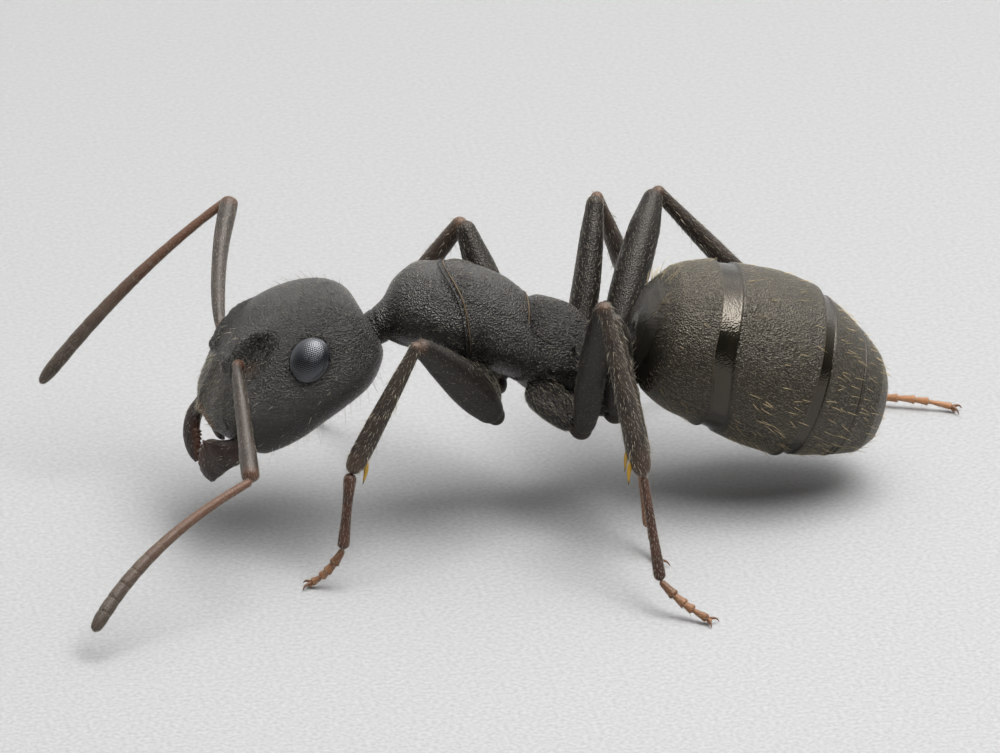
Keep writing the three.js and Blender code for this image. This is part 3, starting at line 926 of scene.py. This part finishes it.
def plate_skin(sections, relief, front, rear, rows):
    """A plate whose marks skin.share run from 0 to 1 over the part that shows."""
    table = closed_plate(sections, front, rear)
    last = len(table) - 1
    spots = np.concatenate([
        np.linspace(0, 2, 10)[:-1], np.linspace(2, last - 2, rows), np.linspace(last - 2, last, 10)[1:]])
    skin = Skin(raised(loft(table, spots, THORAX_COLUMNS, thorax_ring), relief))
    skin.share = (spots - 2) / (last - 4)
    return skin


pronotum = plate_skin(PRONOTUM, pronotum_relief, (0.02, 0.8), (0.03, 0.965), 130)
mesothorax = plate_skin(MESOTHORAX, meso_relief, (-0.06, 0.93), (0.03, 0.96), 110)
propodeum = plate_skin(PROPODEUM, propodeum_relief, (-0.05, 0.93), (0.02, 0.7), 120)
x, z = pronotum.points[..., 0], pronotum.points[..., 2]
pronotum.tone = 0.8 * hill(pronotum.share[:, None], 1.0, 0.012) * smooth(2.3, 2.7, z)
edge, _ = to_line(x, z, PRONOTUM_EDGE)
pronotum.tone += 0.3 * np.exp(-((edge / 0.03) ** 2))
pronotum.gloss = 0.35 * smooth(2.4, 2.6, z)
x, z = mesothorax.points[..., 0], mesothorax.points[..., 2]
mesothorax.gloss = 0.3 * smooth(2.6, 2.8, z)
mesothorax.tone = 0.8 * hill(mesothorax.share[:, None], 1.0, 0.012) * smooth(2.5, 2.8, z)
x, z = propodeum.points[..., 0], propodeum.points[..., 2]
edge, _ = to_line(x, z, GLAND)
propodeum.tone = 0.4 * np.exp(-((edge / 0.022) ** 2))


def rim(skin, at, low):
    """A thin pale lip round a plate at a share of its length, above the height low."""
    row = np.argmin(np.abs(skin.share - at))
    edge = skin.points[row] + skin.normals[row] * 0.008
    edge = edge[edge[:, 2] > low]
    edge = edge[np.argsort(np.arctan2(edge[:, 1], edge[:, 2] - low))]
    return tube(edge[::5], [(0, 0.004), (0.12, 0.013), (0.88, 0.013), (1, 0.004)], rows=120, sides=10)


add_skins("seam_rims", [rim(mesothorax, 0.014, 2.35), rim(mesothorax, 0.99, 2.6)], RIM, "cuticle")
neck = tube([(-2.0, -0.01, 2.44), (-1.75, 0, 2.52), (-1.5, 0, 2.66), (-1.35, 0, 2.74)],
            [(0, 0.3), (0.3, 0.34), (0.6, 0.44), (1, 0.5)], rows=30, sides=48)
dress("pronotum", "skin", [pronotum, neck], CUTICLE, "cuticle")
dress("mesothorax", "skin", [mesothorax], CUTICLE, "cuticle")
dress("propodeum", "skin", [propodeum], CUTICLE, "cuticle")


def petiole_ring(values, angle):
    height, along, thick, wide = values
    return joined(along + thick * np.cos(angle), wide * np.sin(angle), height + 0 * angle)


petiole_table = [(1.25, 1.52, 0.02, 0.02)] + PETIOLE + [(2.73, 1.355, 0.01, 0.02)]
petiole = Skin(loft(petiole_table, evenly(petiole_table, 90), 120, petiole_ring))
petiole.share = np.linspace(-0.1, 1, len(petiole.points))
stalk = tube([(1.2, 0, 1.72), (1.45, 0, 1.62), (1.66, 0, 1.85), (1.78, 0, 2.2)],
             [(0, 0.36), (0.4, 0.4), (1, 0.34)], rows=30, sides=40)
dress("petiole", "skin", [petiole, stalk], CUTICLE, "cuticle")

# ---- gaster

GASTER_COLUMNS = 230
PLATE_ROWS = 120
OVERLAP = 0.012  # how far a plate starts before its seam, as a share of the gaster
PLATE_DEPTH = (0.012, 0.012, 0.028, 0.03)  # of each plate under the profile
BAND_DEPTH = (0, 0.022, 0.016, 0.008)  # of its smooth band under the rest of it
SEAM_LIFT = (0.014, 0.014, 0.004)  # how much a plate rises towards the next one
LIP = 0.014  # thickness of a plate's rear edge
BAND = [0, 0.07, 0.045, 0.008]  # smooth, hairless front part of each plate, as a share of the gaster
SIDE_FOLD = -0.55  # sine of the angle where back plates overlap belly plates


def gaster_points(t, angle, offset):
    """The gaster's surface at shares t of its length, moved out by offset millimetres."""
    sine = np.sin(angle)[None]
    slant = hill(t[:, None], GASTER_SEAMS[1], 0.2) * (-0.04 + 0.085 * smooth(0.35, -0.85, sine))
    t = t[:, None] + slant * smooth(0, 0.08, t[:, None])
    table = np.array(GASTER_PROFILE)
    radius = spline(table, np.interp(t, table[:, 0], np.arange(len(table))))[..., 1] * GASTER_LENGTH
    radius = (radius + offset[:, None])[..., None]
    axis = turn("y", GASTER_PITCH) @ [1, 0, 0]
    up = turn("y", GASTER_PITCH) @ [0, 0, 1]
    middle = GASTER_FRONT + t[..., None] * GASTER_LENGTH * axis
    middle = middle - GASTER_DROOP * t[..., None] ** GASTER_CURL * up
    across = radius * GASTER_BREADTH * np.cos(angle)[None, :, None] * np.array([0, 1.0, 0])
    return middle + across + radius * sine[..., None] * up


def gaster_plate(k):
    start, end = GASTER_SEAMS[k], GASTER_SEAMS[k + 1]
    last = k + 2 == len(GASTER_SEAMS)
    band = BAND[k]
    angle = angles(GASTER_COLUMNS, 0.5)
    body = np.linspace(start - OVERLAP * (k > 0), end, PLATE_ROWS)
    offset = np.full(len(body), -PLATE_DEPTH[k])
    if k:
        offset -= BAND_DEPTH[k] * (1 - smooth(start + band * 0.97, start + band * 1.06, body))
    if not last:
        offset += SEAM_LIFT[k] * smooth(end - 0.05, end, body)
        inside = np.linspace(end, end - 0.02, 6)
        body = np.concatenate([body, inside])
        offset = np.concatenate([offset, np.full(6, offset[-1] - LIP)])
        offset[-1] -= 0.3
    body = np.concatenate([[body[0]], body])
    offset = np.concatenate([[offset[0] - 0.4 * (k > 0)], offset])
    skin = Skin(gaster_points(body, angle, offset))
    fold = np.sin(angle)[None] - SIDE_FOLD + 0 * body[:, None]
    push = -0.012 * (1 - smooth(-0.06, 0.0, fold))
    push = push[:, ::-1] if skin.flipped else push
    skin = Skin(skin.points + skin.normals * push[..., None])
    shares = np.tile(body[:, None], (1, GASTER_COLUMNS))
    skin.gloss = 0.9 * (1 - smooth(start + band * 0.95, start + band * 1.15, shares)) if k else 0 * shares
    skin.gloss += 0.6 * (1 - smooth(0.02, 0.09, shares)) * (k == 0)
    skin.tone = 0.2 * smooth(end - 0.006, end, shares) * (not last)
    skin.shares = shares
    return skin


gaster = [gaster_plate(k) for k in range(4)]
for k, skin in enumerate(gaster):
    dress(f"gaster_{k + 1}", "plate", [skin], GASTER, "gaster")

# ---- legs

# Thickness along each joint, from the body outwards, for the front, middle and hind legs.
COXA = {
    "front": [(0, 0.4), (0.3, 0.56), (0.7, 0.53), (1, 0.34)],
    "middle": [(0, 0.4), (0.35, 0.48), (0.7, 0.4), (1, 0.26)],
    "hind": [(0, 0.36), (0.35, 0.46), (0.7, 0.4), (1, 0.26)],
}
FEMUR = {
    "front": [(0, 0.26), (0.08, 0.36), (0.25, 0.48), (0.45, 0.5), (0.7, 0.4), (0.9, 0.28), (1, 0.22)],
    "middle": [(0, 0.2), (0.06, 0.28), (0.2, 0.35), (0.5, 0.36), (0.8, 0.3), (0.94, 0.23), (1, 0.21)],
    "hind": [(0, 0.2), (0.1, 0.3), (0.3, 0.42), (0.55, 0.45), (0.8, 0.4), (0.93, 0.28), (1, 0.22)],
}
TIBIA = {
    "front": [(0, 0.17), (0.08, 0.16), (0.3, 0.2), (0.7, 0.25), (0.9, 0.25), (1, 0.17)],
    "front_right": [(0, 0.19), (0.08, 0.21), (0.3, 0.24), (0.7, 0.25), (0.9, 0.25), (1, 0.17)],
    "middle": [(0, 0.17), (0.08, 0.16), (0.3, 0.21), (0.7, 0.27), (0.92, 0.26), (1, 0.16)],
    "hind": [(0, 0.18), (0.08, 0.18), (0.4, 0.25), (0.75, 0.3), (0.93, 0.3), (1, 0.22)],
}
BASITARSUS = {
    "front": [(0, 0.15), (0.08, 0.16), (0.3, 0.13), (0.6, 0.125), (0.94, 0.15), (1, 0.12)],
    "middle": [(0, 0.1), (0.1, 0.105), (0.6, 0.12), (0.94, 0.15), (1, 0.12)],
    "hind": [(0, 0.1), (0.1, 0.105), (0.6, 0.12), (0.94, 0.145), (1, 0.12)],
}
FAR_SHINS = ("front_right", "middle_right")  # paler than the rest
FEMUR_BOW = {"front_right": (0.1, 0, 0), "middle_right": (0.06, 0, 0)}
SPUR_SIDE = {"front": 1, "middle": -1, "hind": -1}  # towards the rear or the head
TARSOMERES = [0, 0.32, 0.54, 0.7, 1]
FOOT_SHAPES = (
    [(0, 0.07), (0.15, 0.085), (0.7, 0.115), (0.92, 0.14), (1, 0.1)],
    [(0, 0.05), (0.3, 0.07), (0.7, 0.095), (0.92, 0.11), (1, 0.09)])
HIND_SLIMNESS = 0.78  # of the last four joints of a hind foot
FLOOR_GAP = 0.004


def claw(root, forward, aside, side):
    """One hooked claw, spread to its side and bent down to the floor."""
    down = np.array([0, 0, -1.0])
    reach = [
        root,
        root + forward * 0.045 + aside * side * 0.035,
        root + forward * 0.09 + aside * side * 0.075 + down * 0.01,
    ]
    tip = root + forward * 0.12 + aside * side * 0.11
    tip[2] = max(root[2] - 0.06, 0.012)
    return tube(reach + [tip], [(0, 0.05), (0.4, 0.034), (0.8, 0.018), (1, 0.006)], rows=14, sides=12)


def foot(pair, ankle, ball, tip):
    joints = [tube([ankle, mixed(ankle, ball, 0.5), ball], BASITARSUS[pair], rows=30, sides=24)]
    middle = mixed(ball, tip, 0.45)
    middle[2] = tip[2] + 0.1
    path = bezier(ball, middle, tip)
    slim = HIND_SLIMNESS if pair == "hind" else 1
    joints += jointed(path, TARSOMERES, FOOT_SHAPES, lambda along: slim,
                      before=0.03, after=0.02, points=4, rows=12, sides=20)
    forward = unit((path[-1] - path[-6]) * [1, 1, 0])
    aside = np.cross(forward, [0, 0, 1.0])
    root = np.array(tip, float) - forward * 0.02
    root[2] = max(root[2], 0.06)
    claws = [claw(root, forward, aside, side) for side in (1, -1)]
    pad_end = root + forward * 0.06
    pad_end[2] = 0.03 + FLOOR_GAP
    pad = tube([root, mixed(root, pad_end, 0.6), pad_end], [(0, 0.05), (0.6, 0.07), (1, 0.06)],
               rows=8, sides=16)
    return joints, claws, pad


legs, spurs = {}, []
for name, joints in LEGS.items():
    base, hip, knee, ankle, ball, tip = (np.array(p, float) for p in joints)
    pair = name.split("_")[0]
    outward = np.array([0, -1.0 if name.endswith("left") else 1.0, 0])
    bend = unit(hip - base)
    middle = mixed(base, hip, 0.4) + outward * 0.03
    coxa = tube([base - bend * 0.1, middle, hip - bend * 0.1], COXA[pair], rows=40, sides=36)
    coxa.tone_rows(0.5 * smooth(0.93, 1, coxa.share))
    thigh = unit(knee - hip)
    trochanter = tube([hip - bend * 0.2, hip - bend * 0.04, hip + thigh * 0.2],
                      [(0, 0.2), (0.5, 0.24), (1, 0.2)], rows=16, sides=28)
    trochanter.tone[:] = 0.12
    lift = unit(np.cross(np.cross(thigh, [0, 0, 1.0]), thigh))
    middle = mixed(hip, knee, 0.5) + lift * 0.05 + FEMUR_BOW.get(name, (0, 0, 0))
    femur = tube([hip + thigh * 0.05, middle, knee], FEMUR[pair], rows=70, sides=36)
    femur.tone_rows(0.7 * smooth(0.94, 0.99, femur.share) + 0.3 * (1 - smooth(0, 0.06, femur.share)))
    femur.tone *= {"hind_left": 0.1, "front_left": 0.9, "middle_left": 0.9}.get(name, 0.5)
    shin = unit(ankle - knee)
    middle = mixed(knee, ankle, 0.5) + lift * 0.02
    tibia = tube([knee - shin * 0.03, middle, ankle], TIBIA.get(name, TIBIA[pair]), rows=70, sides=30)
    tibia.tone_rows(0.6 * (1 - smooth(0.01, 0.06, tibia.share)) + 0.3 * smooth(0.8, 1, tibia.share))
    tibia.tone *= 0.1 if name == "hind_left" else 1.0
    tibia.tone += 0.25 if name in FAR_SHINS else 0
    steps, claws, pad = foot(pair, ankle, ball, tip)
    for k, step in enumerate(steps):
        step.tone[:] = (0.0 if pair != "hind" else 0.5) + (0, 0.3, 0.55, 0.6, 0.5)[k]
    for hook in claws:
        hook.tone[:] = 0.3
    pad.tone[:] = 0.9
    legs[name] = {"coxa": coxa, "femur": femur, "tibia": tibia, "steps": steps}
    dress(f"coxa_{name}", "skin", [coxa], CUTICLE, "cuticle")
    dress(f"femur_{name}", "skin", [femur, trochanter], LIMB, "limb")
    dress(f"tibia_{name}", "skin", [tibia], SHIN, "limb")
    dress(f"tarsus_{name}", "joints", steps + claws + [pad], TARSUS, "tarsus")
    inner = np.array([SPUR_SIDE[pair], 0, -0.3])
    inner = unit(inner - shin * (inner @ shin))
    root = ankle - shin * 0.24 + inner * 0.09
    spur = tube([root, root + shin * 0.12 + inner * 0.07, root + shin * 0.3 + inner * 0.12],
                [(0, 0.07), (0.4, 0.06), (0.8, 0.03), (1, 0.006)], rows=16, sides=12)
    spur.tone_rows(smooth(0.75, 0.95, spur.share))
    spurs.append(spur)
add_skins("spurs", spurs, AMBER, "tarsus")

# ---- coat

for k, skin in enumerate(gaster):
    start, end, band = GASTER_SEAMS[k], GASTER_SEAMS[k + 1], BAND[k]
    here = skin.shares[:-1]
    shown = smooth(start + band, start + band * 1.2 + 0.001, here) if k else smooth(0.03, 0.12, here)
    shown = shown * (1 - smooth(end - 0.024, end - 0.018, here) * (k < 3))
    down = Coat()
    down.grow(skin, 2100, shown, 0.052, 0.006, 13, -6, turn_aside=14)
    down.build(f"gaster_{k + 1}_down", DOWN)
    bristles = Coat()
    high = skin.points[:-1, :, 2]
    low_side = smooth(2.3, 1.6, high)
    rear = smooth(start + 0.35 * (end - start), end, here)
    weight = shown * {0: 0.15 + 0.6 * low_side, 1: 0.4 + 0.7 * rear + low_side, 2: 1.5, 3: 2.4}[k]
    bristles.grow(skin, 13, weight, 0.15, 0.0105, 28, -12, steps=3, turn_aside=12)
    if k == 0:
        front = smooth(0.02, 0.04, here) * (1 - smooth(0.06, 0.1, here)) * smooth(2.6, 2.85, high)
        bristles.grow(skin, 80, front, 0.24, 0.01, 50, -35, steps=3, turn_aside=10)
    if k == 2:
        bristles.add(in_rows(skin, [0.5, 0.8], 0.2), 0.16, 0.0095, 26, -12, steps=3, turn_aside=10)
    bristles.build(f"gaster_{k + 1}_bristles", BRISTLE)

local = head_local.points[:-1]
x, z = local[..., 0], local[..., 2]
off_eyes = smooth(1.0, 1.1, np.minimum(eye_share(local, 1), eye_share(local, -1)))
clypeus = smooth(0.65, 0.8, x) * (1 - smooth(1.18, 1.2, x)) * smooth(0, 0.1, z)
coat = Coat()
coat.grow(head_skin, 480, off_eyes * (x < 1.2), 0.045, 0.005, 12, -5, turn_aside=24)
coat.grow(head_skin, 800, clypeus, 0.06, 0.005, 16, -4, turn_aside=24)
coat.build("head_down", DOWN)
crown = smooth(0.3, 0.6, z) * smooth(-0.2, -0.6, x) * off_eyes
muzzle = smooth(0.1, 0.5, x) * smooth(0.0, 0.2, z) * off_eyes
margin = (np.abs(x - 1.215) < 0.02) & (z > 0)
coat = Coat()
# Hairs to a square millimetre, where, tone, and then length, width, lift and curl.
for density, weight, tone, *shape in (
        (16, smooth(-0.2, -0.5, z), 0, 0.2, 0.0055, 60, -15),
        (45, crown, 0.5, 0.13, 0.006, 60, -20),
        (36, clypeus, 0, 0.09, 0.0055, 35, -10),
        (8, off_eyes * (z < 0.3), 0, 0.08, 0.005, 28, -10),
        (22, muzzle, 0, 0.1, 0.0055, 45, -15),
        (700, margin, 0, 0.1, 0.007, 12, 20)):
    coat.grow(head_skin, density, weight, *shape, steps=3, tone=tone)
for skin in jaws.values():
    coat.grow(skin, 130, 1, 0.06, 0.006, 25, -8, steps=3)
coat.build("head_bristles", PALE)

coat = Coat(tiles=16)
plates = ((pronotum, 700), (mesothorax, 900), (propodeum, 1000), (petiole, 800))
for tile, (skin, density) in enumerate(plates):
    share = skin.share[:-1, None]
    plate = smooth(-0.01, 0.01, share) * (1 - smooth(0.93, 0.96, share))
    coat.grow(skin, density, plate, 0.045, 0.0058, 11, -4, turn_aside=22, tile=tile)
for tile, leg in enumerate(legs.values()):
    coat.grow(leg["coxa"], 700, 1, 0.08, 0.006, 13, -6, turn_aside=16, tile=tile + 4)
coat.build("thorax_down", DOWN)

for name, leg in legs.items():
    coat = Coat(tiles=16)
    far = name.endswith("right") and not name.startswith("hind")
    coat.grow(leg["femur"], 620 if far else 430, 1, 0.055, 0.0055 if far else 0.005, 13, -4, tile=0)
    coat.grow(leg["femur"], 25, 1, 0.09, 0.005, 45, -15, tile=0)
    coat.grow(leg["tibia"], 240 if far else 430, 1, 0.062, 0.0052, 20, -7, tile=1)
    coat.grow(leg["tibia"], 60, 1, 0.11, 0.007, 32, -8, tile=1)
    for k, step in enumerate(leg["steps"]):
        coat.grow(step, 700, 1, 0.06, 0.005, 24, -8, tile=2 + k)
    coat.build(f"leg_{name}_coat", LEG_HAIR)

for name in FEELERS:
    coat = Coat(tiles=16)
    coat.grow(scapes[name], 1300, 1, 0.05, 0.0055, 14, -5, tile=0)
    for k, joint in enumerate(whips[name]):
        coat.grow(joint, 2600, 1, 0.035, 0.0055, 20, -6, tile=1 + k)
    coat.build(f"feeler_{name}_coat", LEG_HAIR)

# ---- floor, light and camera

FLOOR_HALF = 0.25
mesh = bpy.data.meshes.new("floor")
corners = [(-FLOOR_HALF, -FLOOR_HALF, 0), (FLOOR_HALF, -FLOOR_HALF, 0), (FLOOR_HALF, FLOOR_HALF, 0),
           (-FLOOR_HALF, FLOOR_HALF, 0)]
fill(mesh, np.array(corners), np.arange(4), np.array([4]))
FLOOR, tree, shader = new_material("floor")
where = tree.where()
speckle = tree.scaled(tree.noise(where, FLOOR_CLOUD, 4), 0.3, 0.7, 0, 1)
near = tree.scaled(tree.new("SeparateXYZ", {0: where}, "Y"), 0.02, -0.006, 0.3, 1)
grey = tree.mix(near, paint(FLOOR_NEAR), tree.mix(speckle, paint(FLOOR_DARK), paint(FLOOR_LIGHT)))
tree.feed(shader, {"Base Color": grey, "Roughness": 0.9, "Specular IOR Level": 0.1})
finished(mesh, "floor", FLOOR)

FILL = 0.17  # the studio's light from all round
SKY_BEHIND = 1.0  # how bright the pale backdrop looks in the shell's reflections
scene = bpy.context.scene
world = bpy.data.worlds.new("studio")
tree = Tree(world)
facing = tree.new("SeparateXYZ", {0: tree.where("Generated")}, "Y")
behind = tree.scaled(facing, -0.3, 0.5, 0.06, SKY_BEHIND)
seen = tree.mix(tree.new("LightPath", {}, "Is Glossy Ray"), (FILL, FILL, FILL, 1), behind)
shown = tree.mix(tree.new("LightPath", {}, "Is Camera Ray"), seen, paint(BACKDROP))
tree.feed(tree.nodes["Background"], {"Color": shown, "Strength": 1})
scene.world = world
scene.view_settings.view_transform = "Standard"


def lamp(name, location, width, height, radiance, spin=0):
    """A soft box that shines on the ant, with how bright its face looks; spin turns it in its plane."""
    light = bpy.data.lights.new(name, "AREA")
    light.shape = "RECTANGLE"
    light.size, light.size_y = width, height
    light.energy = radiance * math.pi * width * height
    box = bpy.data.objects.new(name, light)
    box.location = location
    box.rotation_euler = (-Vector(location)).to_track_quat("-Z", "Y").to_euler()
    box.rotation_euler.rotate_axis("Z", math.radians(spin))
    scene.collection.objects.link(box)


lamp("top_box", (0.016, -0.012, 0.098), 0.092, 0.09, 2.4)
lamp("core_box", (0.02, -0.02, 0.086), 0.034, 0.08, 7.6, -21)
lamp("wide_box", (0.012, 0.014, 0.112), 0.18, 0.17, 0.8)
lamp("side_box", (0.06, 0.05, 0.05), 0.04, 0.04, 1.8)

AZIMUTH, ELEVATION = math.radians(-10), math.radians(24)
AIM_HEIGHT = 1.66875  # up the picture from the point under the thorax
VIEW_WIDTH = 0.0125
DISTANCE = 0.3
SENSOR = 36
up = np.array([-math.sin(AZIMUTH) * math.sin(ELEVATION), math.cos(AZIMUTH) * math.sin(ELEVATION),
               math.cos(ELEVATION)])
back = np.array([math.sin(AZIMUTH) * math.cos(ELEVATION), -math.cos(AZIMUTH) * math.cos(ELEVATION),
                 math.sin(ELEVATION)])
aim = place(up * AIM_HEIGHT)
camera_data = bpy.data.cameras.new("camera")
camera_data.sensor_width = SENSOR
camera_data.lens = SENSOR * DISTANCE / VIEW_WIDTH
camera_data.clip_start = 0.001
camera_data.clip_end = 10
camera = bpy.data.objects.new("camera", camera_data)
camera.location = aim + back * DISTANCE
camera.rotation_euler = Vector(-back).to_track_quat("-Z", "Y").to_euler()
scene.collection.objects.link(camera)
scene.camera = camera
